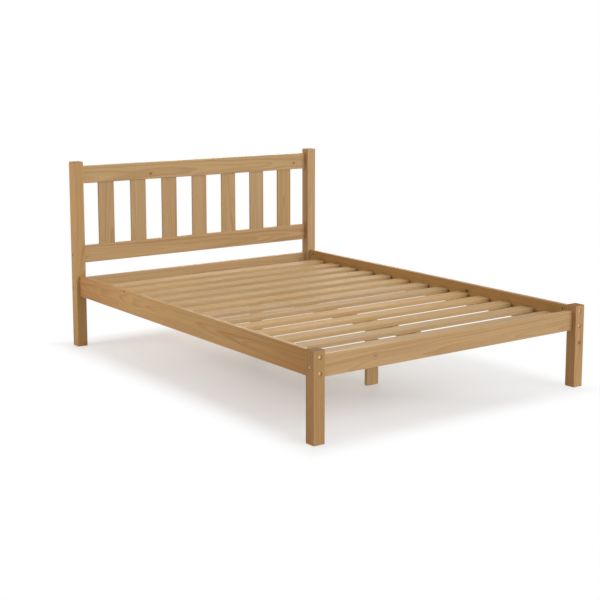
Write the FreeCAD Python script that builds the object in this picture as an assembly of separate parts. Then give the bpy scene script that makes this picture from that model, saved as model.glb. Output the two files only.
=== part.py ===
import FreeCAD, Part
import math
import os

# Double bed frame in honey pine: a slatted headboard, a low foot end, bolted side rails and a slatted base.
# Millimetres. +Z is up, the head end is at +Y, and +X is on the right seen from the foot end.
# The origin is on the floor, under the middle of the frame's outer box.

# Sleeping area inside the frame: between the side rails, and from the head posts to the foot rail
inner_width = 1372.0
inner_length = 1905.0

# Posts and legs, cut from one square stock
post_width = 52.0
post_depth = 52.0
head_post_height = 909.0
foot_leg_height = 360.0
post_edge_radius = 4.0
post_top_chamfer = 2.5

# Rails of the base: the side rails, and the two cross rails between the legs and between the head posts
rail_thickness = 22.0
rail_edge_radius = 3.0
side_rail_height = 102.0
side_rail_drop = 8.0
side_rail_inset = 17.0
cross_rail_height = 86.0
foot_rail_inset = 21.0

# Headboard: two rails set back between the posts, with flat slats housed in both
headboard_inset = 25.0
lower_rail_gap = 74.0
lower_rail_height = 85.0
top_rail_height = 85.0
top_rail_drop = 23.0
board_slat_count = 7
board_slat_width = 85.0
board_slat_thickness = 12.0
board_slat_chamfer = 1.5
mortise_depth = 12.0
mortise_clearance = 0.2
mortise_end_gap = 0.8

# Slatted base: battens on the side rails and a beam along the middle carry the slats
ledger_width = 22.0
ledger_height = 38.0
ledger_rise = 2.0
ledger_end_margin = 5.0
ledger_chamfer = 1.5
ledger_screw_count = 4
ledger_screw_inset = 100.0
base_slat_count = 13
base_slat_width = 70.0
base_slat_thickness = 18.0
base_slat_end_gap = 3.0
base_slat_chamfer = 2.0

# Centre beam, the slotted cleats that hold its notched ends, and its flat slotted legs
beam_width = 28.0
beam_height = 40.0
beam_end_gap = 2.0
beam_notch = 16.0
beam_chamfer = 1.5
slot_clearance = 0.3
cleat_width = 90.0
cleat_thickness = 20.0
cleat_floor = 16.0
cleat_grip = 20.0
centre_leg_width = 64.0
centre_leg_thickness = 20.0
centre_leg_lap = 28.0
centre_leg_setback = 514.0
centre_leg_chamfer = 2.0

# Socket bolts in round counterbores, and their barrel nuts in the rails
bolt_diameter = 6.0
bolt_head_diameter = 12.5
bolt_head_height = 3.5
bolt_socket_width = 5.0
bolt_socket_depth = 2.4
bolt_recess = 5.0
bolt_recess_diameter = 15.0
bolt_tip = 5.0
side_bolt_spacing = 62.0
nut_diameter = 10.0
nut_length = 14.0
nut_setback = 35.0

# Dowels between rails and posts
dowel_diameter = 8.0
dowel_in_post = 16.0
dowel_in_rail = 24.0
dowel_end_gap = 0.6
cross_dowel_rise = 20.0
board_dowel_spacing = 46.0

# Wood screws of the base, and the longer recessed ones through the head posts into the lower rail
screw_diameter = 4.0
screw_head_diameter = 8.0
screw_head_height = 2.6
screw_bite = 12.0
rail_screw_diameter = 6.0
rail_screw_head_diameter = 9.0
rail_screw_head_height = 3.0
rail_screw_recess = 7.0
rail_screw_bite = 32.0

# Room round every fastener in its hole, the sides of the shanks and holes hidden in the wood,
# and the overrun of every cut
hole_clearance = 0.3
shank_sides = 8
socket_sides = 6
overrun = 5.0

# Places across the bed
side_inner_x = inner_width / 2
side_outer_x = side_inner_x + rail_thickness
side_axis_x = side_inner_x + rail_thickness / 2
outer_x = side_outer_x + side_rail_inset
post_inner_x = outer_x - post_width
ledger_inner_x = side_inner_x - ledger_width
prong_thickness = (centre_leg_width - beam_width) / 2

# Places along the bed
head_y = (inner_length + post_depth + foot_rail_inset + rail_thickness) / 2
foot_y = -head_y
head_post_front_y = head_y - post_depth
foot_leg_back_y = foot_y + post_depth
foot_rail_front_y = foot_y + foot_rail_inset
foot_rail_back_y = foot_rail_front_y + rail_thickness
foot_rail_axis_y = foot_rail_front_y + rail_thickness / 2
board_front_y = head_post_front_y + headboard_inset
board_back_y = board_front_y + rail_thickness
board_axis_y = board_front_y + rail_thickness / 2
ledger_end_inset = nut_setback + nut_diameter / 2 + ledger_end_margin
ledger_foot_y = foot_leg_back_y + ledger_end_inset
ledger_head_y = head_post_front_y - ledger_end_inset
beam_foot_y = foot_rail_back_y + beam_end_gap
beam_head_y = board_front_y - beam_end_gap

# Heights: the rails of the base hang from the legs' tops, and the headboard stands over them
rail_rise = foot_leg_height - side_rail_drop - side_rail_height
side_rail_axis_z = rail_rise + side_rail_height / 2
cross_rail_axis_z = rail_rise + cross_rail_height / 2
lower_rail_rise = rail_rise + cross_rail_height + lower_rail_gap
lower_rail_top_z = lower_rail_rise + lower_rail_height
lower_rail_axis_z = lower_rail_rise + lower_rail_height / 2
top_rail_top_z = head_post_height - top_rail_drop
top_rail_under_z = top_rail_top_z - top_rail_height
top_rail_axis_z = top_rail_top_z - top_rail_height / 2
ledger_under_z = rail_rise + ledger_rise
ledger_axis_z = ledger_under_z + ledger_height / 2
slat_under_z = ledger_under_z + ledger_height
slat_top_z = slat_under_z + base_slat_thickness
beam_under_z = slat_under_z - beam_height
cleat_seat_z = beam_under_z + beam_notch
cleat_under_z = cleat_seat_z - cleat_floor
cleat_top_z = cleat_seat_z + cleat_grip

# Unit directions
RIGHT = FreeCAD.Vector(1, 0, 0)
HEADWARD = FreeCAD.Vector(0, 1, 0)
UP = FreeCAD.Vector(0, 0, 1)
LEFT = -RIGHT
FOOTWARD = -HEADWARD


# Shapes that the pieces share

def block(x_span, y_span, z_span):
    """Plain block between two places on each axis."""
    low = FreeCAD.Vector(x_span[0], y_span[0], z_span[0])
    high = FreeCAD.Vector(x_span[1], y_span[1], z_span[1])
    size = high - low
    return Part.makeBox(size.x, size.y, size.z, low)


def edges_along(solid, direction):
    """A block's four edges along one direction."""
    return [edge for edge in solid.Edges if round(abs(edge.tangentAt(edge.FirstParameter).dot(direction)))]


def prism(sides, across_flats, start, direction, length):
    """Regular prism that starts at a place and runs along a direction."""
    corner = across_flats / 2 / math.cos(math.pi / sides)
    turns = [math.pi * (2 * index + 1) / sides for index in range(sides + 1)]
    outline = [FreeCAD.Vector(math.cos(turn), math.sin(turn), 0) * corner for turn in turns]
    solid = Part.Face(Part.makePolygon(outline)).extrude(UP * length)
    solid.Placement = FreeCAD.Placement(start, FreeCAD.Rotation(UP, direction))
    return solid


def shank(diameter, start, direction, length):
    """Many-sided shank of a bolt, a screw, a dowel or a barrel nut."""
    return prism(shank_sides, diameter, start, direction, length)


def shank_hole(diameter, mouth, direction, depth):
    """Cutter for the hole round a shank, from its mouth inwards."""
    return shank(diameter + 2 * hole_clearance, mouth - direction * overrun, direction, depth + overrun)


def counterbore(diameter, mouth, direction, depth):
    """Cutter for a round recess, from its mouth inwards."""
    return Part.makeCylinder(diameter / 2, depth + overrun, mouth - direction * overrun, direction)


def mirrored(solid):
    """The left-hand piece for a right-hand one."""
    return solid.mirror(FreeCAD.Vector(), RIGHT)


def both_sides(solids):
    """A group of right-hand solids with their left-hand twins."""
    return solids + [mirrored(solid) for solid in solids]


# Places of the fasteners on the right-hand side: where each starts, and which way it runs

def side_bolt_seats():
    """Bolts through a post or a leg into an end of the right side rail."""
    seats = []
    for side in (-1, 1):
        height = side_rail_axis_z + side * side_bolt_spacing / 2
        seats.append((FreeCAD.Vector(side_axis_x, foot_y, height), HEADWARD))
        seats.append((FreeCAD.Vector(side_axis_x, head_y, height), FOOTWARD))
    return seats


def cross_bolt_mouth(axis_y):
    """Bolt through the right leg or head post into a cross rail."""
    return FreeCAD.Vector(outer_x, axis_y, cross_rail_axis_z)


def cross_dowel_place(axis_y):
    """Dowel over a cross rail's bolt, where it crosses the post's inner face."""
    return FreeCAD.Vector(post_inner_x, axis_y, cross_rail_axis_z + cross_dowel_rise)


def board_dowel_places(axis_z):
    """The two dowels at the right end of a headboard rail, where they cross the post's inner face."""
    offset = UP * (board_dowel_spacing / 2)
    middle = FreeCAD.Vector(post_inner_x, board_axis_y, axis_z)
    return [middle - offset, middle + offset]


def rail_screw_mouth():
    """Recessed screw through the right head post into the lower rail."""
    return FreeCAD.Vector(outer_x, board_axis_y, lower_rail_axis_z)


def ledger_screw_mouths():
    """Evenly spaced screws through the right ledger into the side rail."""
    first = ledger_foot_y + ledger_screw_inset
    step = (ledger_head_y - ledger_screw_inset - first) / (ledger_screw_count - 1)
    return [FreeCAD.Vector(ledger_inner_x, first + index * step, ledger_axis_z)
            for index in range(ledger_screw_count)]


def cleat_screw_mouth(face_y, inward):
    """Right-hand screw of a beam cleat that stands on a cross rail's inner face."""
    slot_side = beam_width / 2 + slot_clearance
    middle_x = (slot_side + cleat_width / 2) / 2
    middle_z = (cleat_under_z + cleat_top_z) / 2
    return FreeCAD.Vector(middle_x, face_y, middle_z) + inward * cleat_thickness


def centre_leg_places():
    """Middles of the two centre legs along the bed, foot and head."""
    return foot_rail_back_y + centre_leg_setback, board_front_y - centre_leg_setback


def leg_screw_mouth(middle_y):
    """Right-hand screw through a centre leg's prong into the beam."""
    return FreeCAD.Vector(centre_leg_width / 2, middle_y, beam_under_z + centre_leg_lap / 2)


# Cutters for the joints

def bolt_cuts(mouth, direction, thickness):
    """Hole and counterbore of a bolt through a post."""
    return [shank_hole(bolt_diameter, mouth, direction, thickness + overrun),
            counterbore(bolt_recess_diameter, mouth, direction, bolt_recess)]


def nut_cuts(rail_end, direction, outward):
    """Bolt hole in a rail's end, and the barrel nut's hole from the rail's inner face."""
    reach = nut_setback + nut_diameter / 2 + bolt_tip + hole_clearance
    face = rail_end + direction * nut_setback - outward * (rail_thickness / 2)
    depth = (rail_thickness + nut_length) / 2
    return [shank_hole(bolt_diameter, rail_end, direction, reach),
            shank_hole(nut_diameter, face, outward, depth)]


def dowel_cuts_in_post(places):
    """Dowel holes in the inner face of a right-hand post or leg."""
    return [shank_hole(dowel_diameter, place, RIGHT, dowel_in_post) for place in places]


def dowel_cuts_in_rail(places):
    """Dowel holes in both ends of a rail."""
    return both_sides([shank_hole(dowel_diameter, place, LEFT, dowel_in_rail) for place in places])


def screw_hole(mouth, direction, thickness):
    """Hole of a wood screw through the piece that it holds."""
    return shank_hole(screw_diameter, mouth, direction, thickness + overrun)


def screw_pilot(mouth, direction, thickness):
    """Hole in the piece that a wood screw bites into."""
    return shank_hole(screw_diameter, mouth + direction * thickness, direction, screw_bite + hole_clearance)


# Posts and legs

def upright(y_span, height):
    """Square right-hand post with rounded corners and a chamfered top."""
    post = block((post_inner_x, outer_x), y_span, (0, height))
    post = post.makeFillet(post_edge_radius, edges_along(post, UP))
    top_edges = [edge for edge in post.Edges if edge.BoundBox.ZMin > height - post_top_chamfer]
    return post.makeChamfer(post_top_chamfer, top_edges)


def upright_cuts(axis_y, bolt_direction):
    """Cutters for the side rail's bolts and for one cross rail's bolt and dowel."""
    cuts = bolt_cuts(cross_bolt_mouth(axis_y), LEFT, post_width)
    for mouth, direction in side_bolt_seats():
        if direction == bolt_direction:
            cuts += bolt_cuts(mouth, direction, post_depth)
    return cuts + dowel_cuts_in_post([cross_dowel_place(axis_y)])


def foot_leg():
    """Right foot leg, drilled for the side rail and the foot rail."""
    return upright((foot_y, foot_leg_back_y), foot_leg_height).cut(upright_cuts(foot_rail_axis_y, HEADWARD))


def head_post():
    """Right head post, drilled for the side rail, the head base rail and the headboard's rails."""
    post = upright((head_post_front_y, head_y), head_post_height)
    cuts = upright_cuts(board_axis_y, FOOTWARD)
    cuts += dowel_cuts_in_post(board_dowel_places(lower_rail_axis_z) + board_dowel_places(top_rail_axis_z))
    cuts.append(shank_hole(rail_screw_diameter, rail_screw_mouth(), LEFT, post_width + overrun))
    cuts.append(shank_hole(rail_screw_head_diameter, rail_screw_mouth(), LEFT, rail_screw_recess))
    return post.cut(cuts)


# Rails

def rail(x_span, y_span, z_span, direction):
    """Flat rail with its long edges rounded."""
    board = block(x_span, y_span, z_span)
    return board.makeFillet(rail_edge_radius, edges_along(board, direction))


def side_rail():
    """Right side rail, with bolt and nut holes at both ends and pilot holes for its ledger."""
    board = rail((side_inner_x, side_outer_x), (foot_leg_back_y, head_post_front_y),
                 (rail_rise, rail_rise + side_rail_height), HEADWARD)
    cuts = [screw_pilot(mouth, RIGHT, ledger_width) for mouth in ledger_screw_mouths()]
    for mouth, direction in side_bolt_seats():
        cuts += nut_cuts(mouth + direction * post_depth, direction, RIGHT)
    return board.cut(cuts)


def cross_rail(axis_y, inward):
    """Rail between two posts or legs, bolted and doweled at both ends, with pilot holes for its cleat."""
    half_thickness = rail_thickness / 2
    board = rail((-post_inner_x, post_inner_x), (axis_y - half_thickness, axis_y + half_thickness),
                 (rail_rise, rail_rise + cross_rail_height), RIGHT)
    cuts = nut_cuts(cross_bolt_mouth(axis_y) + LEFT * post_width, LEFT, -inward)
    cleat_screw = cleat_screw_mouth(axis_y + inward.y * half_thickness, inward)
    cuts.append(screw_pilot(cleat_screw, -inward, cleat_thickness))
    return board.cut(both_sides(cuts) + dowel_cuts_in_rail([cross_dowel_place(axis_y)]))


def headboard_rail(under_z, height):
    """Headboard rail between the head posts, with dowel holes in its ends."""
    board = rail((-post_inner_x, post_inner_x), (board_front_y, board_back_y), (under_z, under_z + height), RIGHT)
    return board.cut(dowel_cuts_in_rail(board_dowel_places(under_z + height / 2)))


def board_slat_span(index):
    """Sides of a headboard slat: slats and equal gaps fill the space between the posts."""
    gap = (2 * post_inner_x - board_slat_count * board_slat_width) / (board_slat_count + 1)
    left_x = -post_inner_x + gap + index * (board_slat_width + gap)
    return left_x, left_x + board_slat_width


def board_slat_depth():
    """Front and back of every headboard slat, in the middle of the rails."""
    return board_axis_y - board_slat_thickness / 2, board_axis_y + board_slat_thickness / 2


def mortises(z_span):
    """Cutters that house all the headboard slats in a rail."""
    def widened(span):
        return span[0] - mortise_clearance, span[1] + mortise_clearance
    return [block(widened(board_slat_span(index)), widened(board_slat_depth()), z_span)
            for index in range(board_slat_count)]


def top_rail():
    """Headboard's top rail, mortised from below."""
    board = headboard_rail(top_rail_under_z, top_rail_height)
    return board.cut(mortises((top_rail_under_z - overrun, top_rail_under_z + mortise_depth)))


def lower_rail():
    """Headboard's lower rail, mortised from above and drilled for a screw in each end."""
    board = headboard_rail(lower_rail_rise, lower_rail_height)
    rail_end = rail_screw_mouth() + LEFT * post_width
    pilot = shank_hole(rail_screw_diameter, rail_end, LEFT, rail_screw_bite + hole_clearance)
    housings = mortises((lower_rail_top_z - mortise_depth, lower_rail_top_z + overrun))
    return board.cut(both_sides([pilot]) + housings)


def board_slat(index):
    """Headboard slat, standing in the lower rail's mortise and free to swell in the top rail's."""
    top_z = top_rail_under_z + mortise_depth - mortise_end_gap
    slat = block(board_slat_span(index), board_slat_depth(), (lower_rail_top_z - mortise_depth, top_z))
    return slat.makeChamfer(board_slat_chamfer, edges_along(slat, UP))


# Slatted base

def ledger():
    """Right ledger, screwed to the side rail."""
    batten = block((ledger_inner_x, side_inner_x), (ledger_foot_y, ledger_head_y), (ledger_under_z, slat_under_z))
    batten = batten.makeChamfer(ledger_chamfer, edges_along(batten, HEADWARD))
    return batten.cut([screw_hole(mouth, RIGHT, ledger_width) for mouth in ledger_screw_mouths()])


def base_slat(index):
    """Slat across the bed that rests on both ledgers and the centre beam, with equal gaps between slats."""
    gap = (inner_length - base_slat_count * base_slat_width) / (base_slat_count + 1)
    foot_side_y = foot_rail_back_y + gap + index * (base_slat_width + gap)
    end_x = side_inner_x - base_slat_end_gap
    slat = block((-end_x, end_x), (foot_side_y, foot_side_y + base_slat_width), (slat_under_z, slat_top_z))
    return slat.makeChamfer(base_slat_chamfer, edges_along(slat, RIGHT))


def centre_beam():
    """Beam along the middle of the bed, notched under its ends to sit in the cleats."""
    beam = block((-beam_width / 2, beam_width / 2), (beam_foot_y, beam_head_y), (beam_under_z, slat_under_z))
    beam = beam.makeChamfer(beam_chamfer, edges_along(beam, HEADWARD))
    notch_length = cleat_thickness + beam_end_gap
    notch_x = (-beam_width, beam_width)
    notch_z = (beam_under_z - overrun, cleat_seat_z)
    cuts = [block(notch_x, (foot_rail_back_y, foot_rail_back_y + notch_length), notch_z),
            block(notch_x, (board_front_y - notch_length, board_front_y), notch_z)]
    for middle_y in centre_leg_places():
        cuts += both_sides([screw_pilot(leg_screw_mouth(middle_y), LEFT, prong_thickness)])
    return beam.cut(cuts)


def beam_slot(y_span, seat_z):
    """Cutter for the slot that a cleat or a centre leg holds the beam in."""
    half_width = beam_width / 2 + slot_clearance
    return block((-half_width, half_width), y_span, (seat_z, slat_under_z + overrun))


def beam_cleat(face_y, inward):
    """Slotted block on a cross rail's inner face that carries one end of the beam."""
    y_span = sorted((face_y, face_y + inward.y * cleat_thickness))
    cleat = block((-cleat_width / 2, cleat_width / 2), y_span, (cleat_under_z, cleat_top_z))
    hole = screw_hole(cleat_screw_mouth(face_y, inward), -inward, cleat_thickness)
    return cleat.cut(both_sides([hole]) + [beam_slot(y_span, cleat_seat_z)])


def centre_leg(middle_y):
    """Flat leg that stands on the floor and straddles the beam with two prongs."""
    y_span = (middle_y - centre_leg_thickness / 2, middle_y + centre_leg_thickness / 2)
    leg = block((-centre_leg_width / 2, centre_leg_width / 2), y_span, (0, beam_under_z + centre_leg_lap))
    leg = leg.makeChamfer(centre_leg_chamfer, edges_along(leg, UP))
    hole = screw_hole(leg_screw_mouth(middle_y), LEFT, prong_thickness)
    return leg.cut(both_sides([hole]) + [beam_slot(y_span, beam_under_z)])


# Fasteners

def bolt(mouth, direction, thickness):
    """Socket bolt seated in its counterbore, through a post and past its barrel nut."""
    seat = mouth + direction * bolt_recess
    length = thickness - bolt_recess + nut_setback + nut_diameter / 2 + bolt_tip
    head = Part.makeCylinder(bolt_head_diameter / 2, bolt_head_height, seat, -direction)
    floor = seat - direction * (bolt_head_height - bolt_socket_depth)
    socket = prism(socket_sides, bolt_socket_width, floor, -direction, bolt_socket_depth + overrun)
    return head.cut(socket).fuse(shank(bolt_diameter, seat, direction, length))


def barrel_nut(rail_end, direction, outward):
    """Barrel nut at the bottom of its hole in a rail, with a cross hole for the bolt."""
    middle = rail_end + direction * nut_setback
    body = shank(nut_diameter, middle - outward * (nut_length / 2), outward, nut_length)
    return body.cut(shank_hole(bolt_diameter, middle - direction * nut_diameter, direction, 2 * nut_diameter))


def side_rail_bolts():
    """Two bolts at each corner, through the posts and legs into the side rails' ends."""
    return both_sides([bolt(mouth, direction, post_depth) for mouth, direction in side_bolt_seats()])


def side_rail_nuts():
    """Barrel nuts of the side rails' bolts."""
    return both_sides([barrel_nut(mouth + direction * post_depth, direction, RIGHT)
                       for mouth, direction in side_bolt_seats()])


def cross_rail_bolts():
    """One bolt at each end of the foot rail and of the head base rail."""
    return both_sides([bolt(cross_bolt_mouth(axis_y), LEFT, post_width)
                       for axis_y in (foot_rail_axis_y, board_axis_y)])


def cross_rail_nuts():
    """Barrel nuts of the cross rails' bolts."""
    return both_sides([barrel_nut(cross_bolt_mouth(axis_y) + LEFT * post_width, LEFT, outward)
                       for axis_y, outward in ((foot_rail_axis_y, FOOTWARD), (board_axis_y, HEADWARD))])


def dowels(places):
    """Dowels that reach the bottom of their holes in a rail's ends."""
    length = dowel_in_rail + dowel_in_post - dowel_end_gap
    return both_sides([shank(dowel_diameter, place + LEFT * dowel_in_rail, RIGHT, length) for place in places])


def cross_rail_dowels():
    """One dowel at each end of the foot rail and of the head base rail."""
    return dowels([cross_dowel_place(foot_rail_axis_y), cross_dowel_place(board_axis_y)])


def headboard_dowels():
    """Two dowels at each end of the headboard's rails."""
    return dowels(board_dowel_places(lower_rail_axis_z) + board_dowel_places(top_rail_axis_z))


def screw(seat, direction, diameter, head_diameter, head_height, length):
    """Flat-headed screw with its head's underside on its seat."""
    head = shank(head_diameter, seat - direction * head_height, direction, head_height)
    return head.fuse(shank(diameter, seat, direction, length))


def wood_screws(seats, thickness):
    """Wood screws on both sides, through pieces of one thickness."""
    return both_sides([screw(mouth, direction, screw_diameter, screw_head_diameter, screw_head_height,
                             thickness + screw_bite) for mouth, direction in seats])


def ledger_screws():
    """Screws through the ledgers into the side rails."""
    return wood_screws([(mouth, RIGHT) for mouth in ledger_screw_mouths()], ledger_width)


def cleat_screws():
    """Two screws through each cleat into its cross rail."""
    seats = [(cleat_screw_mouth(foot_rail_back_y, HEADWARD), FOOTWARD),
             (cleat_screw_mouth(board_front_y, FOOTWARD), HEADWARD)]
    return wood_screws(seats, cleat_thickness)


def centre_leg_screws():
    """One screw through each prong of the centre legs into the beam."""
    return wood_screws([(leg_screw_mouth(middle_y), LEFT) for middle_y in centre_leg_places()], prong_thickness)


def headboard_screws():
    """One recessed screw through each head post into the lower rail."""
    length = post_width - rail_screw_recess + rail_screw_bite
    return both_sides([screw(rail_screw_mouth() + LEFT * rail_screw_recess, LEFT, rail_screw_diameter,
                             rail_screw_head_diameter, rail_screw_head_height, length)])


# The whole frame: a node for each piece, and one for each group of like fasteners

def all_nodes():
    """Every node's name and its solids."""
    nodes = {}
    for piece in (head_post, foot_leg, side_rail, ledger):
        nodes[piece.__name__ + "_right"] = [piece()]
        nodes[piece.__name__ + "_left"] = [mirrored(piece())]
    nodes["foot_rail"] = [cross_rail(foot_rail_axis_y, HEADWARD)]
    nodes["head_base_rail"] = [cross_rail(board_axis_y, FOOTWARD)]
    nodes["headboard_top_rail"] = [top_rail()]
    nodes["headboard_lower_rail"] = [lower_rail()]
    for index in range(board_slat_count):
        nodes["headboard_slat_%d" % (index + 1)] = [board_slat(index)]
    for index in range(base_slat_count):
        nodes["base_slat_%02d" % (index + 1)] = [base_slat(index)]
    nodes["centre_beam"] = [centre_beam()]
    nodes["beam_cleat_foot"] = [beam_cleat(foot_rail_back_y, HEADWARD)]
    nodes["beam_cleat_head"] = [beam_cleat(board_front_y, FOOTWARD)]
    for name, middle_y in zip(("centre_leg_foot", "centre_leg_head"), centre_leg_places()):
        nodes[name] = [centre_leg(middle_y)]
    for group in (side_rail_bolts, side_rail_nuts, cross_rail_bolts, cross_rail_nuts, cross_rail_dowels,
                  headboard_dowels, headboard_screws, ledger_screws, cleat_screws, centre_leg_screws):
        nodes[group.__name__] = group()
    return nodes


os.makedirs("parts", exist_ok=True)
for name, shapes in all_nodes().items():
    solids = [solid for shape in shapes for solid in shape.Solids]
    Part.makeCompound(solids).exportStep("parts/%s.step" % name)
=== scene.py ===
import math
import random

import bmesh
import bpy
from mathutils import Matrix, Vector


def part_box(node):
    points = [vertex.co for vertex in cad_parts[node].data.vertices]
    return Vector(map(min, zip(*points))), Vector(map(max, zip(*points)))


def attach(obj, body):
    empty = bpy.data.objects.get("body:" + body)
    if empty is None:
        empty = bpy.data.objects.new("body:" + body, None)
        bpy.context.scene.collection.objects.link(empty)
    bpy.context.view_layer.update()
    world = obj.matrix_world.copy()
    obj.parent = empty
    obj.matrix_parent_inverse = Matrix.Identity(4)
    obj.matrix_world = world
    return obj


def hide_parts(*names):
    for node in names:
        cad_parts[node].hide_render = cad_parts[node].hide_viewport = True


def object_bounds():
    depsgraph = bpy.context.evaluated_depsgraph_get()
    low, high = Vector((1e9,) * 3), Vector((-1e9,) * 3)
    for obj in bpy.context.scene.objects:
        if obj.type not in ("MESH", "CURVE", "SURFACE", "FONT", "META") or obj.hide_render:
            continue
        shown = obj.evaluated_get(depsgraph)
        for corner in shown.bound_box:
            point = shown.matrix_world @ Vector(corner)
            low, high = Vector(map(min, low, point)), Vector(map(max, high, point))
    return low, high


# Looks of the bed frame, in metres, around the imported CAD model.
# Boards are modelled again with rounded edges and round holes, and metal fasteners with round shanks and
# drive recesses. The centre beam, its cleats and the dowels keep their CAD shape.
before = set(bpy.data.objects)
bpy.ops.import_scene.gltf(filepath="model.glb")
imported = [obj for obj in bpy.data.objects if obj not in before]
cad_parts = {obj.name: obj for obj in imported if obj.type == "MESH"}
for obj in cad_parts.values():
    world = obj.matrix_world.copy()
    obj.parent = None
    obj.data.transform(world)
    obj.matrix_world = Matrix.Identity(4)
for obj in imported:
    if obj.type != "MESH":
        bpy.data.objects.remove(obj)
cad_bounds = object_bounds()

# Camera at the photograph's viewing angle
camera_azimuth = math.radians(-35.87)
camera_elevation = math.radians(8.6)
camera_distance = 5.7415
camera_target = Vector((-0.0644, 0.0, 0.5888))
camera_lens = 75.69
camera_shift_y = -0.1

# Rounding of the boards, along the grain and at the ends, and the angle from which any edge looks sharp
post_radius = 0.003
post_end_radius = 0.0025
rail_radius = 0.0035
rail_end_radius = 0.0008
slat_radius = 0.0022
slat_end_radius = 0.0012
rounding_segments = 5
end_segments = 3
crease_angle = math.radians(32)

# Holes round the fasteners, the screws of the base slats, and room round the beam and the headboard's slats
hole_room = 0.0003
bolt_recess_radius = 0.0075
bolt_recess_rim = 0.0006
mouth_reach = 0.02
slat_screw_radius = 0.0042
slat_screw_head = 0.0026
slat_screw_shank = 0.0019
slat_screw_length = 0.032
slat_screw_sink = 0.0006
beam_slot_room = 0.0003
mortise_room = 0.0002

# Hexagon sockets and rounded heads of the bolts, slots and bevels of the barrel nuts
bolt_socket_radius = 0.0025
bolt_socket_depth = 0.0024
bolt_crown = 0.0008
bolt_bevel = 0.0003
nut_slot_depth = 0.0015
nut_bevel = 0.0006

# Growth rings: how wide they are, how strongly they show, and how far they wander in waves and in ripples
ring_width = 0.0052
ring_contrast = 0.33
ring_wave = 0.012
ring_ripple = 0.0018

# Lacquer and relief of the wood, and how far from an edge its wear and painted highlight begin and are full
wood_specular = 0.08
coat_roughness = 0.3
grain_bump = 0.25
grain_depth = 0.0006
edge_wear_and_highlight = (0.0055, 0.001)

# Floor and white world: the floor's size, its gap under the feet and its colour, and the world as a light
floor_size = 30.0
floor_gap = 0.0004
floor_colour = (0.81, 0.825, 0.86, 1.0)
world_strength = 0.36
world_colour = (1.0, 0.85, 0.68, 1.0)
white = (1.0, 1.0, 1.0, 1.0)

# Painted shade on the floor under the bed, and its core, which deepens away from the key lamp: the middle
# of each, how far it reaches past half the bed, where its edge fades, and the share of white glow left in it
shade_centre = Vector((-0.025, 0.0, 0.0))
shade_margin = Vector((0.025, 0.065, 0.0))
shade_fade = (-0.12, 0.09)
shade_white = 0.68
core_centre = Vector((-0.28, 0.25, 0.0))
core_margin = Vector((-0.195, 0.2, 0.0))
core_fade = (-0.8, 0.4)
core_white = 0.1

# Corners round each turned piece
turned_segments = 48


# Shader nodes

def display(red, green, blue):
    """Linear colour of an 8-bit display colour."""
    def channel(value):
        share = value / 255
        return share / 12.92 if share <= 0.04045 else ((share + 0.055) / 1.055) ** 2.4
    return channel(red), channel(green), channel(blue), 1.0


class Graph:
    """Adds nodes to one tree. A number or colour sets a socket, and another node's output is linked to it."""

    def __init__(self, tree):
        self.tree = tree

    def node(self, kind, **settings):
        made = self.tree.nodes.new(kind)
        for name, value in settings.items():
            setattr(made, name, value)
        return made

    def feed(self, socket, value):
        if isinstance(value, bpy.types.NodeSocket):
            self.tree.links.new(value, socket)
        else:
            socket.default_value = value

    def math(self, operation, *values, clamp=False):
        made = self.node("ShaderNodeMath", operation=operation, use_clamp=clamp)
        for socket, value in zip(made.inputs, values):
            self.feed(socket, value)
        return made.outputs[0]

    def vector(self, operation, *values):
        made = self.node("ShaderNodeVectorMath", operation=operation)
        for socket, value in zip(made.inputs, values):
            self.feed(socket, value)
        return made.outputs["Value" if operation in ("LENGTH", "DOT_PRODUCT") else "Vector"]

    def split(self, vector):
        made = self.node("ShaderNodeSeparateXYZ")
        self.feed(made.inputs[0], vector)
        return list(made.outputs)

    def join(self, x, y, z):
        made = self.node("ShaderNodeCombineXYZ")
        for socket, value in zip(made.inputs, (x, y, z)):
            self.feed(socket, value)
        return made.outputs[0]

    def step(self, value, low, high):
        """Smooth step from 0 at low to 1 at high."""
        made = self.node("ShaderNodeMapRange", interpolation_type="SMOOTHSTEP")
        self.feed(made.inputs["Value"], value)
        self.feed(made.inputs["From Min"], low)
        self.feed(made.inputs["From Max"], high)
        return made.outputs["Result"]

    def between(self, share, low, high):
        """Value that runs from low to high as share runs from 0 to 1."""
        made = self.node("ShaderNodeMapRange")
        self.feed(made.inputs["Value"], share)
        self.feed(made.inputs["To Min"], low)
        self.feed(made.inputs["To Max"], high)
        return made.outputs["Result"]

    def noise(self, place, along, across, detail=2.0):
        """Noise from 0 to 1, with so many waves per metre along and across the grain."""
        made = self.node("ShaderNodeTexNoise")
        self.feed(made.inputs["Vector"], self.vector("MULTIPLY", place, (along, across, across)))
        made.inputs["Scale"].default_value = 1.0
        made.inputs["Detail"].default_value = detail
        return made.outputs["Fac"]

    def mix(self, share, first, second):
        """Colour that runs from the first to the second as share runs from 0 to 1."""
        made = self.node("ShaderNodeMix", data_type="RGBA")
        self.feed(made.inputs[0], share)
        self.feed(made.inputs[6], first)
        self.feed(made.inputs[7], second)
        return made.outputs[2]

    def scaled(self, colour, share):
        """Colour times a number."""
        made = self.node("ShaderNodeVectorMath", operation="SCALE")
        self.feed(made.inputs[0], colour)
        self.feed(made.inputs["Scale"], share)
        return made.outputs[0]


def node_group(name, inputs, outputs):
    """Empty node group, with its graph, its input sockets by name and its output node."""
    tree = bpy.data.node_groups.new(name, "ShaderNodeTree")
    for socket_name, kind in inputs:
        tree.interface.new_socket(socket_name, in_out="INPUT", socket_type="NodeSocket" + kind)
    for socket_name, kind in outputs:
        tree.interface.new_socket(socket_name, in_out="OUTPUT", socket_type="NodeSocket" + kind)
    graph = Graph(tree)
    return graph, graph.node("NodeGroupInput").outputs, graph.node("NodeGroupOutput").inputs
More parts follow.
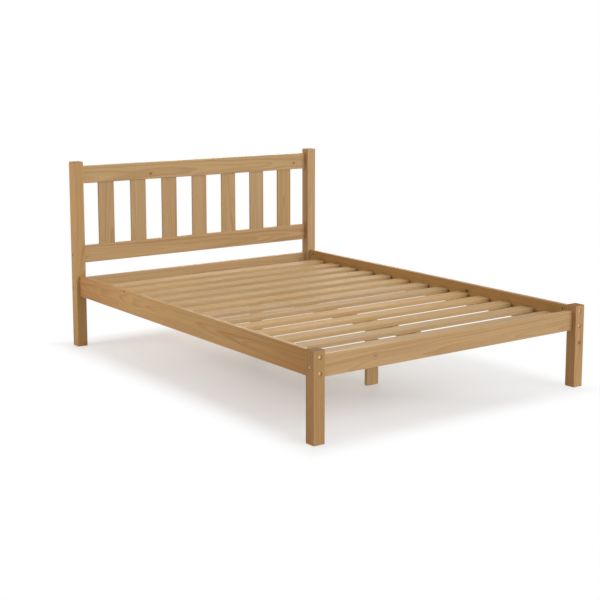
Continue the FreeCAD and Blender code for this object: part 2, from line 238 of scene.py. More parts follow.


# Tints of the pine, as shares of red, green and blue: painted end shade, end grain, and the wood round a knot
END_SHADE_TINT = (0.85, 0.755, 0.645)
END_GRAIN = (0.56, 0.42, 0.32)
KNOT_HALO = (0.74, 0.62, 0.5)

# Colours of a knot's wood and of its rim
KNOT_WOOD = display(140, 90, 50)
KNOT_RIM = display(84, 50, 27)


def pine_group():
    """Sawn pine: growth rings about a pith, fibres, flecks, redder painted shade towards the ends, end grain,
    and edges paler from wear and from a painted highlight. Places are in metres from the board's middle, with
    X along the grain and Z through the thickness."""
    graph, given, made = node_group(
        "pine",
        [("Place", "Vector"), ("Half", "Vector"), ("End", "Float"), ("Pith", "Vector"), ("Lean", "Vector"),
         ("Ring", "Float"), ("Seed", "Float"), ("Tone", "Vector"), ("Contrast", "Float"), ("Painted_end_shade", "Vector"),
         ("Light", "Color"), ("Dark", "Color")],
        [("Colour", "Color"), ("Roughness", "Float"), ("Height", "Float")])
    place = given["Place"]
    shift = graph.math("MULTIPLY", given["Seed"], 0.61)
    seeded = graph.vector("ADD", place, graph.join(given["Seed"], shift, shift))

    # Growth rings
    along, _, _ = graph.split(place)
    leaned = graph.vector("ADD", given["Pith"], graph.scaled(given["Lean"], along))
    _, across, through = graph.split(graph.vector("SUBTRACT", place, leaned))
    radius = graph.vector("LENGTH", graph.join(0.0, across, through))
    wave = graph.between(graph.noise(seeded, 1.4, 8.0), -ring_wave, ring_wave)
    ripple = graph.between(graph.noise(seeded, 7.0, 42.0), -ring_ripple, ring_ripple)
    radius = graph.math("ADD", radius, graph.math("ADD", wave, ripple))
    count = graph.math("DIVIDE", radius, given["Ring"])
    uneven = graph.node("ShaderNodeTexNoise", noise_dimensions="1D")
    graph.feed(uneven.inputs["W"], graph.math("MULTIPLY_ADD", count, 0.37, given["Seed"]))
    uneven.inputs["Scale"].default_value = 1.0
    count = graph.math("MULTIPLY_ADD", uneven.outputs["Fac"], 2.2, count)
    year = graph.math("FRACT", count)
    late = graph.math("MULTIPLY", graph.step(year, 0.25, 0.88), graph.step(year, 1.0, 0.93))
    strength = graph.node("ShaderNodeTexWhiteNoise", noise_dimensions="1D")
    graph.feed(strength.inputs["W"], graph.math("FLOOR", count))
    late = graph.math("MULTIPLY", late, graph.between(strength.outputs["Value"], 0.35, 1.0))

    # Fibres, streaks, clouds and resin flecks
    fibre = graph.noise(seeded, 9.0, 430.0, 3.0)
    streak = graph.noise(seeded, 1.7, 75.0, 3.0)
    cloud = graph.noise(seeded, 1.6, 5.0)
    fleck = graph.step(graph.noise(seeded, 36.0, 760.0, 1.0), 0.66, 0.74)

    # Colour
    depth = graph.math("MULTIPLY", late, given["Contrast"])
    depth = graph.math("ADD", depth, graph.between(streak, -0.2, 0.34), clamp=True)
    colour = graph.mix(depth, given["Light"], given["Dark"])
    level = graph.math("MULTIPLY", graph.between(fibre, 0.94, 1.06), graph.between(cloud, 0.92, 1.08))
    colour = graph.vector("MULTIPLY", graph.scaled(colour, level), given["Tone"])
    colour = graph.mix(graph.math("MULTIPLY", fleck, 0.22), colour, graph.scaled(given["Dark"], 0.6))

    # Painted shade, darker and redder, towards the board's low and high ends, and dark end grain
    half_along, _, _ = graph.split(given["Half"])
    reach = graph.math("DIVIDE", along, half_along)
    near_share, far_share, _ = graph.split(given["Painted_end_shade"])
    near = graph.math("MULTIPLY", graph.step(reach, -0.35, -0.95), near_share)
    far = graph.math("MULTIPLY", graph.step(reach, 0.35, 0.95), far_share)
    knot_and_end_shade = graph.math("ADD", near, far)
    colour = graph.mix(knot_and_end_shade, colour, graph.vector("MULTIPLY", colour, END_SHADE_TINT))
    end_colour = graph.vector("MULTIPLY", colour, END_GRAIN)
    colour = graph.mix(graph.math("MULTIPLY", given["End"], 0.9), colour, end_colour)

    # Paler along the long edges: partly thinner, worn lacquer, partly a painted highlight where light catches
    # the rounding
    edge_room = graph.vector("SUBTRACT", given["Half"], graph.vector("ABSOLUTE", place))
    _, side_room, face_room = graph.split(edge_room)
    room = graph.math("MAXIMUM", side_room, face_room)
    wear_and_highlight = graph.math("MULTIPLY", graph.step(room, *edge_wear_and_highlight), graph.step(streak, 0.25, 0.6))
    wear_and_highlight = graph.math("MULTIPLY", wear_and_highlight, graph.math("SUBTRACT", 1.0, given["End"]))
    colour = graph.mix(graph.math("MULTIPLY", wear_and_highlight, 0.35), colour, graph.scaled(given["Light"], 1.15))

    # Sheen and relief
    sheen = graph.math("ADD", graph.between(streak, 0.34, 0.46), graph.math("MULTIPLY", given["End"], 0.2))
    relief = graph.math("MULTIPLY_ADD", late, 0.5, graph.math("MULTIPLY", fibre, 0.5))
    relief = graph.math("SUBTRACT", relief, graph.math("MULTIPLY", fleck, 0.4))
    for name, value in (("Colour", colour), ("Roughness", sheen), ("Height", relief)):
        graph.feed(made[name], value)
    return graph.tree


def knot_group():
    """A branch through the board, which bends the grain round itself, with its share, halo and rings."""
    graph, given, made = node_group(
        "knot",
        [("Place", "Vector"), ("Centre", "Vector"), ("Size", "Float")],
        [("Place", "Vector"), ("Share", "Float"), ("Halo", "Float"), ("Ring", "Float")])
    away = graph.vector("SUBTRACT", given["Place"], given["Centre"])
    size = graph.join(given["Size"], given["Size"], 1.0)
    along, across, _ = graph.split(graph.vector("DIVIDE", away, size))
    spread = graph.join(graph.math("DIVIDE", along, 4.2), graph.math("DIVIDE", across, 2.0), 0.0)
    reach = graph.vector("LENGTH", spread)
    pull = graph.math("EXPONENT", graph.math("MULTIPLY", graph.math("MULTIPLY", reach, reach), -1.0))
    bent = graph.vector("MULTIPLY", away, graph.join(0.0, graph.math("MULTIPLY", pull, 0.93), 0.0))
    graph.feed(made["Place"], graph.vector("SUBTRACT", given["Place"], bent))
    wobble = graph.between(graph.noise(given["Place"], 160.0, 160.0), -0.22, 0.22)
    core = graph.vector("LENGTH", graph.join(graph.math("DIVIDE", along, 1.3), across, 0.0))
    core = graph.math("ADD", core, wobble)
    graph.feed(made["Share"], graph.step(core, 1.0, 0.8))
    graph.feed(made["Halo"], graph.step(core, 3.2, 0.9))
    rings = graph.math("FRACT", graph.math("MULTIPLY", core, 3.4))
    rim = graph.step(core, 0.55, 0.95)
    graph.feed(made["Ring"], graph.math("MAXIMUM", graph.math("MULTIPLY", rings, 0.55), rim))
    return graph.tree


PINE = pine_group()
KNOT = knot_group()

# Two finishes of the wood: amber lacquer on what shows, and bare planed wood under the slats
LACQUERED = {"light": display(190, 157, 113), "dark": display(144, 102, 60), "rough": 0.0, "coat": 0.04}
PLANED = {"light": display(200, 170, 126), "dark": display(165, 126, 82), "rough": 0.16, "coat": 0.0}

# Boards that are darker, paler or redder than the rest, as shares of red, green and blue
TONES = {"foot_leg_left": (0.86, 0.80, 0.67),
         "foot_leg_right": (1.03, 0.94, 0.88),
         "side_rail_left": (1.05, 1.03, 0.925),
         "side_rail_right": (0.98, 0.93, 0.80),
         "head_post_left": (0.96, 0.93, 0.85),
         "headboard_top_rail": (1.02, 1.06, 1.07),
         # The centre leg is paler to make up for the shade that falls on it under the bed: painted light
         "centre_leg_foot": (1.18, 1.25, 1.28),
         "headboard_slat_1": (0.93, 0.95, 0.98),
         "headboard_slat_2": (0.97, 1.02, 1.08),
         "headboard_slat_3": (0.94, 0.96, 1.0),
         "headboard_slat_4": (0.97, 1.01, 1.07),
         "headboard_slat_5": (0.97, 0.99, 0.99),
         "headboard_slat_6": (0.95, 1.01, 1.08),
         "headboard_slat_7": (0.92, 0.92, 0.9)}

# Boards with a figure of their own: where the pith lies, how it leans, how strongly the rings show, and the
# share of painted shade, darker and redder, at the low and the high end, with a third number that isn't used
# The left side rail's ends are painted shade, darker and redder, where the light falls off
FIGURES = {"side_rail_left": {"Pith": (0.0, 0.006, 0.034), "Lean": (0.0, 0.008, 0.030), "Contrast": 0.34,
                              "Painted_end_shade": (1.0, 1.0, 0.0)},
           # The left head post's lower end is painted shade, darker and redder, where the bed shades it
           "head_post_left": {"Painted_end_shade": (0.6, 0.0, 0.0)},
           "foot_leg_left": {"Pith": (0.0, 0.070, 0.055), "Lean": (0.0, 0.006, 0.004), "Contrast": 0.45},
           "headboard_top_rail": {"Pith": (0.0, -0.012, 0.060), "Lean": (0.0, 0.014, 0.012),
                                  "Contrast": 0.34}}

# Knots and swirls of the grain: node, place on the face, half the width, and how dark the knot is
KNOTS = [
    ("headboard_top_rail", Vector((-0.289, 0.973, 0.828)), 0.0055, 0.9),
    ("headboard_top_rail", Vector((0.597, 0.973, 0.835)), 0.0050, 0.8),
    ("foot_leg_right", Vector((0.698, -1.000, 0.196)), 0.0065, 0.9),
    ("foot_rail", Vector((-0.418, -0.979, 0.295)), 0.0060, 0.3),
    ("side_rail_left", Vector((-0.708, 0.487, 0.346)), 0.0055, 0.7),
    ("side_rail_left", Vector((-0.708, 0.720, 0.300)), 0.0130, 0.12),
    ("side_rail_left", Vector((-0.708, 0.560, 0.278)), 0.0110, 0.12),
    ("side_rail_left", Vector((-0.708, 0.420, 0.320)), 0.0180, 0.0),
    ("side_rail_right", Vector((0.708, -0.310, 0.318)), 0.0080, 0.9),
]


def sides_by_length(node):
    """A board's axes, from its length to its thickness."""
    low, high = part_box(node)
    size = high - low
    return sorted(range(3), key=lambda axis: -round(size[axis], 4))


def along_board(point, order):
    """A point of the frame with the board's length as X and its thickness as Z."""
    return Vector([point[axis] for axis in order])


def wood_material(node, finish):
    """The board's own cut of pine, with its own pith, tone and knots."""
    chance = random.Random(node)
    low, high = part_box(node)
    order = sides_by_length(node)
    middle = (low + high) / 2
    half = along_board((high - low) / 2, order)
    material = bpy.data.materials.new("pine_" + node)
    material.use_nodes = True
    graph = Graph(material.node_tree)
    shader = material.node_tree.nodes["Principled BSDF"]

    coordinates = graph.node("ShaderNodeTexCoord")
    parts = graph.split(graph.vector("SUBTRACT", coordinates.outputs["Object"], middle))
    place = graph.join(*[parts[axis] for axis in order])
    faces = graph.split(coordinates.outputs["Normal"])
    end = graph.step(graph.math("ABSOLUTE", faces[order[0]]), 0.55, 0.85)

    knots = []
    for name, point, size, dark in KNOTS:
        if name == node:
            knot = graph.node("ShaderNodeGroup", node_tree=KNOT)
            graph.feed(knot.inputs["Place"], place)
            knot.inputs["Centre"].default_value = along_board(point - middle, order)
            knot.inputs["Size"].default_value = size
            place = knot.outputs["Place"]
            knots.append((knot, dark))

    pine = graph.node("ShaderNodeGroup", node_tree=PINE)
    graph.feed(pine.inputs["Place"], place)
    graph.feed(pine.inputs["End"], end)
    depth = chance.uniform(0.03, 0.09) * chance.choice((-1, 1))
    tone, warmth = chance.uniform(0.96, 1.04), chance.uniform(-0.02, 0.03)
    settings = {"Half": half,
                "Pith": (0.0, chance.uniform(-0.8, 0.8) * half.y, depth),
                "Lean": (0.0, chance.uniform(-0.012, 0.012), chance.uniform(-0.016, 0.016)),
                "Ring": ring_width * chance.uniform(0.85, 1.2),
                "Seed": chance.uniform(0.0, 40.0),
                "Tone": TONES.get(node, (tone * (1 + warmth), tone, tone * (1 - 2 * warmth))),
                "Contrast": ring_contrast,
                "Painted_end_shade": (0.0, 0.0, 0.0),
                "Light": finish["light"],
                "Dark": finish["dark"]}
    for name, value in {**settings, **FIGURES.get(node, {})}.items():
        pine.inputs[name].default_value = value

    colour = pine.outputs["Colour"]
    for knot, dark in knots:
        halo = graph.math("MULTIPLY", knot.outputs["Halo"], 0.35 * dark)
        colour = graph.mix(halo, colour, graph.vector("MULTIPLY", colour, KNOT_HALO))
        knot_and_end_shade = graph.mix(knot.outputs["Ring"], KNOT_WOOD, KNOT_RIM)
        colour = graph.mix(graph.math("MULTIPLY", knot.outputs["Share"], dark), colour, knot_and_end_shade)
    graph.feed(shader.inputs["Base Color"], colour)
    graph.feed(shader.inputs["Roughness"], graph.math("ADD", pine.outputs["Roughness"], finish["rough"]))
    shader.inputs["Specular IOR Level"].default_value = wood_specular
    shader.inputs["Coat Weight"].default_value = finish["coat"]
    shader.inputs["Coat Roughness"].default_value = coat_roughness
    bump = graph.node("ShaderNodeBump")
    bump.inputs["Strength"].default_value = grain_bump
    bump.inputs["Distance"].default_value = grain_depth
    graph.feed(bump.inputs["Height"], pine.outputs["Height"])
    graph.feed(shader.inputs["Normal"], bump.outputs["Normal"])
    return material


def metal_material(name, bright, dull, rough):
    """Plated metal with faint turning marks, blotches of tarnish and uneven gloss."""
    material = bpy.data.materials.new(name)
    material.use_nodes = True
    graph = Graph(material.node_tree)
    shader = material.node_tree.nodes["Principled BSDF"]
    place = graph.node("ShaderNodeTexCoord").outputs["Object"]
    blotch = graph.noise(place, 260.0, 260.0, 3.0)
    grain = graph.noise(place, 2600.0, 2600.0)
    graph.feed(shader.inputs["Base Color"], graph.mix(graph.step(blotch, 0.4, 0.7), bright, dull))
    graph.feed(shader.inputs["Roughness"], graph.between(blotch, rough - 0.08, rough + 0.14))
    shader.inputs["Metallic"].default_value = 1.0
    bump = graph.node("ShaderNodeBump")
    bump.inputs["Strength"].default_value = 0.12
    bump.inputs["Distance"].default_value = 0.0002
    graph.feed(bump.inputs["Height"], grain)
    graph.feed(shader.inputs["Normal"], bump.outputs["Normal"])
    return material


BRASS = metal_material("brass_plate", display(222, 192, 146), display(168, 135, 88), 0.34)
ZINC = metal_material("zinc_plate", display(205, 204, 200), display(158, 156, 152), 0.34)


# Meshes

def add_piece(name, mesh, material, replaced=()):
    """Object of the bed frame, with its material, that stands for CAD nodes."""
    mesh.materials.clear()
    mesh.materials.append(material)
    piece = bpy.data.objects.new(name, mesh)
    bpy.context.scene.collection.objects.link(piece)
    mesh.polygons.foreach_set("use_smooth", [True] * len(mesh.polygons))
    mesh.set_sharp_from_angle(angle=crease_angle)
    normals = piece.modifiers.new("even_normals", "WEIGHTED_NORMAL")
    normals.keep_sharp = True
    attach(piece, "root")
    if replaced:
        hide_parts(*replaced)


def mesh_of(name, shape):
    """Mesh made from a bmesh, which is freed."""
    bmesh.ops.recalc_face_normals(shape, faces=shape.faces)
    mesh = bpy.data.meshes.new(name)
    shape.to_mesh(mesh)
    shape.free()
    return mesh


def rounded_block(low, high, long_radius, end_radius, axis):
    """Block with its edges along one axis rounded, and the edges of its ends rounded less."""
    shape = bmesh.new()
    bmesh.ops.create_cube(shape, size=1.0)
    for corner in shape.verts:
        for side in range(3):
            corner.co[side] = high[side] if corner.co[side] > 0 else low[side]
    long_edges = [e for e in shape.edges if abs(e.verts[0].co[axis] - e.verts[1].co[axis]) > long_radius]
    bmesh.ops.bevel(shape, geom=long_edges, offset=long_radius, offset_type="OFFSET",
                    segments=rounding_segments, profile=0.5, affect="EDGES", clamp_overlap=True)
    end_edges = [e for e in shape.edges if abs(e.verts[0].co[axis] - e.verts[1].co[axis]) < end_radius]
    bmesh.ops.bevel(shape, geom=end_edges, offset=end_radius, offset_type="OFFSET",
                    segments=end_segments, profile=0.5, affect="EDGES", clamp_overlap=True)
    return shape


def circle(_turn):
    """Outline of a round ring."""
    return 1.0


def hexagon(turn):
    """Outline of a hexagon, from its middle to its side."""
    return 1.0 / math.cos((turn + math.pi / 6) % (math.pi / 3) - math.pi / 6)


def cross(turn):
    """Outline of a cross recess with arms about a third as wide as the recess."""
    half_arm, least = 0.3, 1e-6
    lean = (turn + math.pi / 4) % (math.pi / 2) - math.pi / 4
    return min(1.0 / math.cos(lean), half_arm / max(abs(math.sin(lean)), least))


def bar(turn):
    """Outline of a straight slot, a fifth as wide as it is long."""
    half_width, least = 0.2, 1e-6
    return min(1.0 / max(abs(math.cos(turn)), least), half_width / max(abs(math.sin(turn)), least))


def add_turned(shape, rings, start, direction):
    """Adds a closed piece made of rings, each an outline, a size and a place along the direction."""
    turn_to = Vector((0, 0, 1)).rotation_difference(direction).to_matrix()
    loops = []
    for outline, size, height in rings:
        loop = []
        for index in range(turned_segments):
            turn = 2 * math.pi * index / turned_segments
            radius = size * outline(turn)
            local = Vector((radius * math.cos(turn), radius * math.sin(turn), height))
            loop.append(shape.verts.new(start + turn_to @ local))
        loops.append(loop)
    for lower, upper in zip(loops, loops[1:]):
        for index in range(turned_segments):
            following = (index + 1) % turned_segments
            shape.faces.new((lower[index], lower[following], upper[following], upper[index]))
    shape.faces.new(loops[0][::-1])
    shape.faces.new(loops[-1])


class Fastener:
    """A bolt, screw, dowel or nut of a CAD node: its seat, direction, head and shank, from its vertices."""

    def __init__(self, points):
        low = Vector([min(p[side] for p in points) for side in range(3)])
        high = Vector([max(p[side] for p in points) for side in range(3)])
        size = high - low
        self.low, self.high = low, high
        self.axis = max(range(3), key=lambda side: size[side])
        self.middle = (low + high) / 2
        self.length = size[self.axis]
        self.radius = min(size) / 2
        levels = sorted({round(p[self.axis], 5) for p in points})
        widths = {level: self.width_at(points, level) for level in (levels[0], levels[-1])}
        head_low = widths[levels[0]] >= widths[levels[-1]]
        self.top, self.tip = (levels[0], levels[-1]) if head_low else (levels[-1], levels[0])
        self.seat_level = levels[-2] if head_low else levels[1]
        self.shank_radius = min(widths.values())
        self.direction = Vector([0, 0, 0])
        self.direction[self.axis] = 1.0 if head_low else -1.0
        self.seat = self.at(self.seat_level)
        self.head_height = abs(self.top - self.seat_level)
        self.shank_length = abs(self.tip - self.seat_level)

    def width_at(self, points, level):
        """Half the width of the piece at one level along its axis, between flats."""
        across = [side for side in range(3) if side != self.axis]
        ring = [p for p in points if abs(p[self.axis] - level) < 1e-5]
        return min((max(p[side] for p in ring) - min(p[side] for p in ring)) / 2 for side in across)

    def at(self, level):
        """Point on the axis at one level."""
        point = self.middle.copy()
        point[self.axis] = level
        return point

    def outward(self):
        """Direction along the axis, away from the middle of the bed."""
        direction = Vector((0, 0, 0))
        direction[self.axis] = 1.0 if self.middle[self.axis] > 0 else -1.0
        return direction


def fasteners(node):
    """Every separate fastener of a CAD node."""
    shape = bmesh.new()
    shape.from_mesh(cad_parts[node].data)
    bmesh.ops.remove_doubles(shape, verts=shape.verts, dist=1e-6)
    left = set(shape.verts)
    found = []
    while left:
        group, queue = [], [left.pop()]
        while queue:
            vertex = queue.pop()
            group.append(vertex.co.copy())
            near = [edge.other_vert(vertex) for edge in vertex.link_edges]
            fresh = [other for other in near if other in left]
            left.difference_update(fresh)
            queue.extend(fresh)
        found.append(Fastener(group))
    shape.free()
    return sorted(found, key=lambda item: tuple(round(value, 4) for value in item.middle))


BOLTS = {node: fasteners(node) for node in ("side_rail_bolts", "cross_rail_bolts")}
NUTS = {node: fasteners(node) for node in ("side_rail_nuts", "cross_rail_nuts")}
DOWELS = {node: fasteners(node) for node in ("cross_rail_dowels", "headboard_dowels")}
SCREWS = {node: fasteners(node) for node in ("ledger_screws", "cleat_screws", "centre_leg_screws")}
POST_SCREWS = {"headboard_screws": fasteners("headboard_screws")}


def touches(low, high, other_low, other_high):
    """Whether two boxes meet."""
    return all(low[side] < other_high[side] and other_low[side] < high[side] for side in range(3))


def items_in(groups, low, high):
    """Fasteners of some CAD nodes that reach into a box."""
    return [item for group in groups.values() for item in group if touches(low, high, item.low, item.high)]


def shank_hole(item):
    """Rings of the plain hole round a bolt's or screw's shank, open at its seat."""
    narrow = item.shank_radius + hole_room
    return [(circle, narrow, -mouth_reach), (circle, narrow, 0.0),
            (circle, narrow, item.shank_length + hole_room)]


def recessed_hole(item, radius):
    """Rings of a hole with a counterbore for the head, which has an eased rim."""
    depth, rim = recess_depth(item), bolt_recess_rim
    return [(circle, radius + rim, -depth - mouth_reach), (circle, radius + rim, -depth),
            (circle, radius, -depth + rim), (circle, radius, 0.0)] + shank_hole(item)[1:]


def recess_depth(item):
    """How far a recessed head's seat lies under the outer face of its post."""
    reach = cad_bounds[1] if item.direction[item.axis] < 0 else cad_bounds[0]
    return abs(reach[item.axis] - item.seat_level)


def hole_cutters(low, high):
    """Two shapes that cut the holes of a board: along the fasteners, and for the barrel nuts."""
    along, across = bmesh.new(), bmesh.new()
    for item in items_in(BOLTS, low, high):
        add_turned(along, recessed_hole(item, bolt_recess_radius), item.seat, item.direction)
    for item in items_in(POST_SCREWS, low, high):
        add_turned(along, recessed_hole(item, item.radius + hole_room), item.seat, item.direction)
    for item in items_in(SCREWS, low, high):
        add_turned(along, shank_hole(item), item.seat, item.direction)
    for item in items_in(DOWELS, low, high):
        wide = item.radius + hole_room
        rings = [(circle, wide, -hole_room), (circle, wide, item.length + hole_room)]
        forward = Vector([side == item.axis for side in range(3)])
        add_turned(along, rings, item.at(item.low[item.axis]), forward)
    for item in items_in(NUTS, low, high):
        wide = item.radius + hole_room
        rings = [(circle, wide, 0.0), (circle, wide, item.length + mouth_reach)]
        inward = -item.outward()
        add_turned(across, rings, item.middle - inward * (item.length / 2), inward)
    return [shape for shape in (along, across) if shape.verts]


def box_cutter(boxes):
    """Shape that cuts plain slots."""
    shape = bmesh.new()
    for low, high in boxes:
        made = bmesh.ops.create_cube(shape, size=1.0)
        for corner in made["verts"]:
            for side in range(3):
                corner.co[side] = high[side] if corner.co[side] > 0 else low[side]
    return shape


def cut(mesh, shapes):
    """The mesh with every shape cut out of it."""
    for shape in shapes:
        board = bpy.data.objects.new("board", mesh)
        knife = bpy.data.objects.new("knife", mesh_of("knife", shape))
        for thing in (board, knife):
            bpy.context.scene.collection.objects.link(thing)
        difference = board.modifiers.new("cut", "BOOLEAN")
        difference.operation = "DIFFERENCE"
        difference.solver = "EXACT"
        difference.object = knife
        shown = board.evaluated_get(bpy.context.evaluated_depsgraph_get())
        mesh = bpy.data.meshes.new_from_object(shown)
        for thing in (board, knife):
            bpy.data.objects.remove(thing)
    return mesh


# Wooden pieces

def board_piece(node, long_radius, end_radius, slots=()):
    """Rounded, drilled and lacquered board that stands for a CAD node."""
    low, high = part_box(node)
    mesh = mesh_of(node, rounded_block(low, high, long_radius, end_radius, sides_by_length(node)[0]))
    shapes = hole_cutters(low, high) + ([box_cutter(slots)] if slots else [])
    mesh = cut(mesh, shapes)
    mesh.name = node
    add_piece(node + "_board", mesh, wood_material(node, LACQUERED), [node])


def grown(node, room):
    """A node's box with room all round."""
    low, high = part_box(node)
    around = Vector((room, room, room))
    return low - around, high + around


def named(start):
    """CAD nodes whose names begin alike, in order."""
    return sorted(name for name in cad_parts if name.startswith(start))


for node in named("head_post") + named("foot_leg"):
    board_piece(node, post_radius, post_end_radius)
for node in ("side_rail_left", "side_rail_right", "foot_rail", "head_base_rail"):
    board_piece(node, rail_radius, rail_end_radius)
board_slats = [grown(node, mortise_room) for node in named("headboard_slat")]
for node in ("headboard_top_rail", "headboard_lower_rail"):
    board_piece(node, rail_radius, rail_end_radius, board_slats)
for node in named("headboard_slat"):
    board_piece(node, slat_radius, slat_end_radius)
beam = grown("centre_beam", beam_slot_room)
for node in ("centre_leg_foot", "centre_leg_head"):
    board_piece(node, rail_radius, post_end_radius, [beam])

# Base slats, with a countersunk screw into the ledger at each end
ledger_low, ledger_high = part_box("ledger_right")
slat_screw_x = (ledger_low.x + ledger_high.x) / 2
DOWN = Vector((0, 0, -1))


def slat_screw_rings():
    """Countersunk screw with a cross recess, from its head's top down."""
    head, sink = slat_screw_head, slat_screw_sink
    return [(cross, slat_screw_radius * 0.32, sink + head * 0.55), (cross, slat_screw_radius * 0.6, sink),
            (circle, slat_screw_radius * 0.94, sink), (circle, slat_screw_radius, sink + head * 0.08),
            (circle, slat_screw_shank, sink + head), (circle, slat_screw_shank, slat_screw_length * 0.85),
            (circle, slat_screw_shank * 0.15, slat_screw_length)]


def slat_screw_hole():
    """Countersunk hole that the screw's head lies in."""
    head, sink, room = slat_screw_head, slat_screw_sink, hole_room
    wide, narrow = slat_screw_radius + room, slat_screw_shank + room
    return [(circle, wide, -mouth_reach), (circle, wide, sink + head * 0.08),
            (circle, narrow, sink + head + room), (circle, narrow, slat_screw_length + room)]


def slat_screw_mouth(slat, side):
    """Where a base slat's screw over the left or right ledger enters the slat's top."""
    low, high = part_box(slat)
    return Vector((side * slat_screw_x, (low.y + high.y) / 2, high.z))


slat_screws = bmesh.new()
for node in named("base_slat"):
    low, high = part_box(node)
    holes = bmesh.new()
    for side in (-1, 1):
        mouth = slat_screw_mouth(node, side)
        add_turned(holes, slat_screw_hole(), mouth, DOWN)
        add_turned(slat_screws, slat_screw_rings(), mouth, DOWN)
    mesh = mesh_of(node, rounded_block(low, high, slat_radius, slat_end_radius, 0))
    mesh = cut(mesh, [holes])
    add_piece(node + "_board", mesh, wood_material(node, PLANED), [node])
add_piece("slat_screws", mesh_of("slat_screws", slat_screws), ZINC)

# Ledgers, with the holes that the slat screws bite into
for node, side in (("ledger_left", -1), ("ledger_right", 1)):
    low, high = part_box(node)
    holes = bmesh.new()
    for slat in named("base_slat"):
        add_turned(holes, slat_screw_hole(), slat_screw_mouth(slat, side), DOWN)
    mesh = mesh_of(node, rounded_block(low, high, slat_radius, slat_end_radius, 1))
    mesh = cut(mesh, hole_cutters(low, high) + [holes])
    add_piece(node + "_board", mesh, wood_material(node, PLANED), [node])

# Beam and cleats keep their CAD shape, and so do the dowels inside the joints
for node in ["centre_beam"] + named("beam_cleat") + list(DOWELS):
    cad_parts[node].data.materials[0] = wood_material(node, PLANED)


# Fasteners

def bolt_rings(item):
    """Socket bolt with a rounded head, from its socket's floor to its tip."""
    top, radius, shank = -item.head_height, item.radius, item.shank_radius
    socket, crown, bevel = bolt_socket_radius, bolt_crown, bolt_bevel
    return [(hexagon, socket, top + bolt_socket_depth), (hexagon, socket, top + bevel),
            (hexagon, socket * 1.12, top), (circle, radius - crown * 1.6, top),
            (circle, radius - crown * 0.6, top + crown * 0.35), (circle, radius, top + crown * 1.3),
            (circle, radius, -bevel), (circle, radius - bevel, 0.0),
            (circle, shank, 0.0), (circle, shank, item.shank_length - shank * 0.4),
            (circle, shank * 0.6, item.shank_length)]


def screw_rings(item):
    """Pan-head screw with a cross recess, from its recess to its point."""
    top, radius, shank = -item.head_height, item.radius, item.shank_radius
    return [(cross, radius * 0.25, top * 0.35), (cross, radius * 0.52, top),
            (circle, radius * 0.66, top * 0.99), (circle, radius * 0.88, top * 0.8),
            (circle, radius, top * 0.45), (circle, radius, top * 0.06), (circle, radius * 0.95, 0.0),
            (circle, shank, 0.0), (circle, shank, item.shank_length * 0.85),
            (circle, shank * 0.2, item.shank_length)]


def nut_rings(item):
    """Barrel nut with a screwdriver slot in the end that shows."""
    radius, length, bevel = item.radius, item.length, nut_bevel
    return [(bar, radius * 0.86, nut_slot_depth), (bar, radius * 0.86, 0.0), (circle, radius * 0.93, 0.0),
            (circle, radius, bevel), (circle, radius, length - bevel), (circle, radius * 0.93, length)]


def fastener_piece(node, items, rings, material):
    """All the fasteners of a CAD node, as one piece."""
    shape = bmesh.new()
    for item in items:
        add_turned(shape, rings(item), item.seat, item.direction)
    add_piece(node + "_turned", mesh_of(node, shape), material, [node])


for node, items in BOLTS.items():
    fastener_piece(node, items, bolt_rings, BRASS)
for node, items in {**SCREWS, **POST_SCREWS}.items():
    fastener_piece(node, items, screw_rings, ZINC)

# Barrel nuts, with the cross holes of their bolts
for node, items in NUTS.items():
    shape, bolt_holes = bmesh.new(), bmesh.new()
    for item in items:
        outward = item.outward()
        add_turned(shape, nut_rings(item), item.middle - outward * (item.length / 2), outward)
    for item in BOLTS[node.replace("nuts", "bolts")]:
        add_turned(bolt_holes, shank_hole(item), item.seat, item.direction)
    mesh = cut(mesh_of(node, shape), [bolt_holes])
    add_piece(node + "_turned", mesh, ZINC, [node])


# Floor, light and camera

def ray_share(graph):
    """1 for rays from the camera and for what shows in gloss or glass, and 0 for light on surfaces."""
    path = graph.node("ShaderNodeLightPath")
    seen = graph.math("MAXIMUM", path.outputs["Is Camera Ray"], path.outputs["Is Glossy Ray"])
    return graph.math("MAXIMUM", seen, path.outputs["Is Transmission Ray"])


def white_world():
    """White background, which lights the object less than it shows."""
    world = bpy.data.worlds.new("studio")
    bpy.context.scene.world = world
    world.use_nodes = True
    graph = Graph(world.node_tree)
    back = world.node_tree.nodes["Background"]
    seen = ray_share(graph)
    graph.feed(back.inputs["Color"], graph.mix(seen, world_colour, white))
    graph.feed(back.inputs["Strength"], graph.between(seen, world_strength, 1.0))


def outside_box(graph, place, centre, reach):
    """How far a place on the floor lies outside an upright box, below zero inside it."""
    away = graph.vector("ABSOLUTE", graph.vector("SUBTRACT", place, centre))
    over_x, over_y, _ = graph.split(graph.vector("SUBTRACT", away, reach))
    return graph.math("MAXIMUM", over_x, over_y)


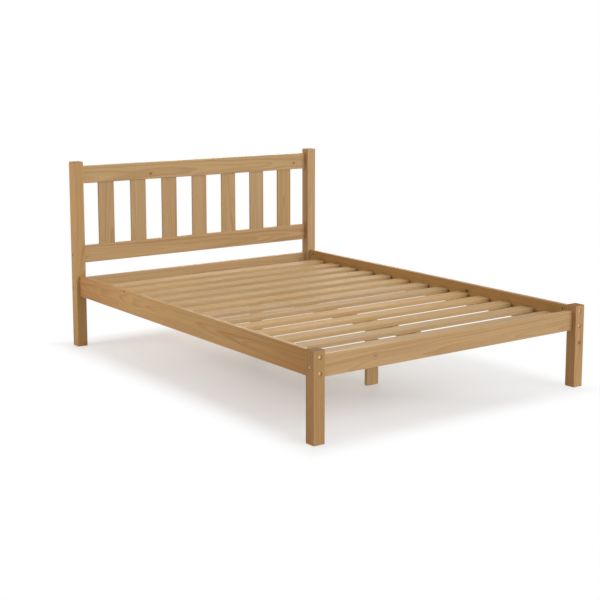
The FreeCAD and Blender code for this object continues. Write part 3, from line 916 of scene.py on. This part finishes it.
def white_floor():
    """Wide pale floor with the object's shadow, fading to white away from it, and painted shade under it."""
    shape = bmesh.new()
    bmesh.ops.create_grid(shape, x_segments=1, y_segments=1, size=floor_size)
    floor = bpy.data.objects.new("floor", mesh_of("floor", shape))
    floor.location.z = -floor_gap
    bpy.context.scene.collection.objects.link(floor)
    material = bpy.data.materials.new("floor_white")
    material.use_nodes = True
    graph = Graph(material.node_tree)
    shader = material.node_tree.nodes["Principled BSDF"]
    shader.inputs["Base Color"].default_value = floor_colour
    shader.inputs["Roughness"].default_value = 0.5
    shader.inputs["Specular IOR Level"].default_value = 0.2
    glow = graph.node("ShaderNodeEmission")
    mixed = graph.node("ShaderNodeMixShader")
    place = graph.node("ShaderNodeTexCoord").outputs["Object"]
    core = outside_box(graph, place, core_centre, cad_bounds[1] + core_margin)
    edge = outside_box(graph, place, shade_centre, cad_bounds[1] + shade_margin)
    # Share of white glow that the camera sees, least under the bed: painted shade over the floor's own
    # shading
    under = graph.between(graph.step(core, *core_fade), core_white, shade_white)
    bright = graph.between(graph.step(edge, *shade_fade), under, 1.0)
    graph.feed(mixed.inputs[0], graph.math("MULTIPLY", bright, ray_share(graph)))
    graph.feed(mixed.inputs[1], shader.outputs[0])
    graph.feed(mixed.inputs[2], glow.outputs[0])
    graph.feed(material.node_tree.nodes["Material Output"].inputs["Surface"], mixed.outputs[0])
    floor.data.materials.append(material)


def area_light(name, place, target, size, power, colour):
    """Soft square lamp that faces a point."""
    lamp = bpy.data.lights.new(name, "AREA")
    lamp.size = size
    lamp.energy = power
    lamp.color = colour
    holder = bpy.data.objects.new(name, lamp)
    holder.location = place
    holder.rotation_euler = (Vector(target) - Vector(place)).to_track_quat("-Z", "Y").to_euler()
    bpy.context.scene.collection.objects.link(holder)


def wide_light(name, place, turn, strength, colour):
    """Large far lamp in the direction of a place, as even at the head as at the foot."""
    lamp = bpy.data.lights.new(name, "SUN")
    lamp.angle = turn
    lamp.energy = strength
    lamp.color = colour
    holder = bpy.data.objects.new(name, lamp)
    holder.location = place
    holder.rotation_euler = (-Vector(place)).to_track_quat("-Z", "Y").to_euler()
    bpy.context.scene.collection.objects.link(holder)


def photo_camera():
    """Camera at the photograph's place, with no depth of field."""
    camera = bpy.data.cameras.new("camera")
    camera.lens = camera_lens
    camera.shift_y = camera_shift_y
    holder = bpy.data.objects.new("camera", camera)
    back = Vector((math.sin(camera_azimuth) * math.cos(camera_elevation),
                   -math.cos(camera_azimuth) * math.cos(camera_elevation),
                   math.sin(camera_elevation)))
    holder.location = camera_target + back * camera_distance
    holder.rotation_euler = (-back).to_track_quat("-Z", "Y").to_euler()
    bpy.context.scene.collection.objects.link(holder)
    bpy.context.scene.camera = holder


white_world()
white_floor()
wide_light("key", place=(2.2, -5.0, 2.6), turn=math.radians(55), strength=1.9, colour=(0.95, 1.0, 1.08))
area_light("top", place=(0.3, 0.6, 4.2), target=(0.0, 0.0, 0.2), size=3.5, power=30.0,
           colour=(1.0, 1.0, 1.0))
area_light("fill", place=(-3.2, 1.4, 1.4), target=(-0.7, 0.4, 0.4), size=1.5, power=34.0,
           colour=(1.0, 0.86, 0.70))
area_light("back", place=(2.2, 3.6, 1.7), target=(0.2, 0.95, 0.5), size=1.8, power=40.0,
           colour=(1.0, 0.93, 0.84))
photo_camera()
bpy.context.scene.view_settings.view_transform = "Standard"
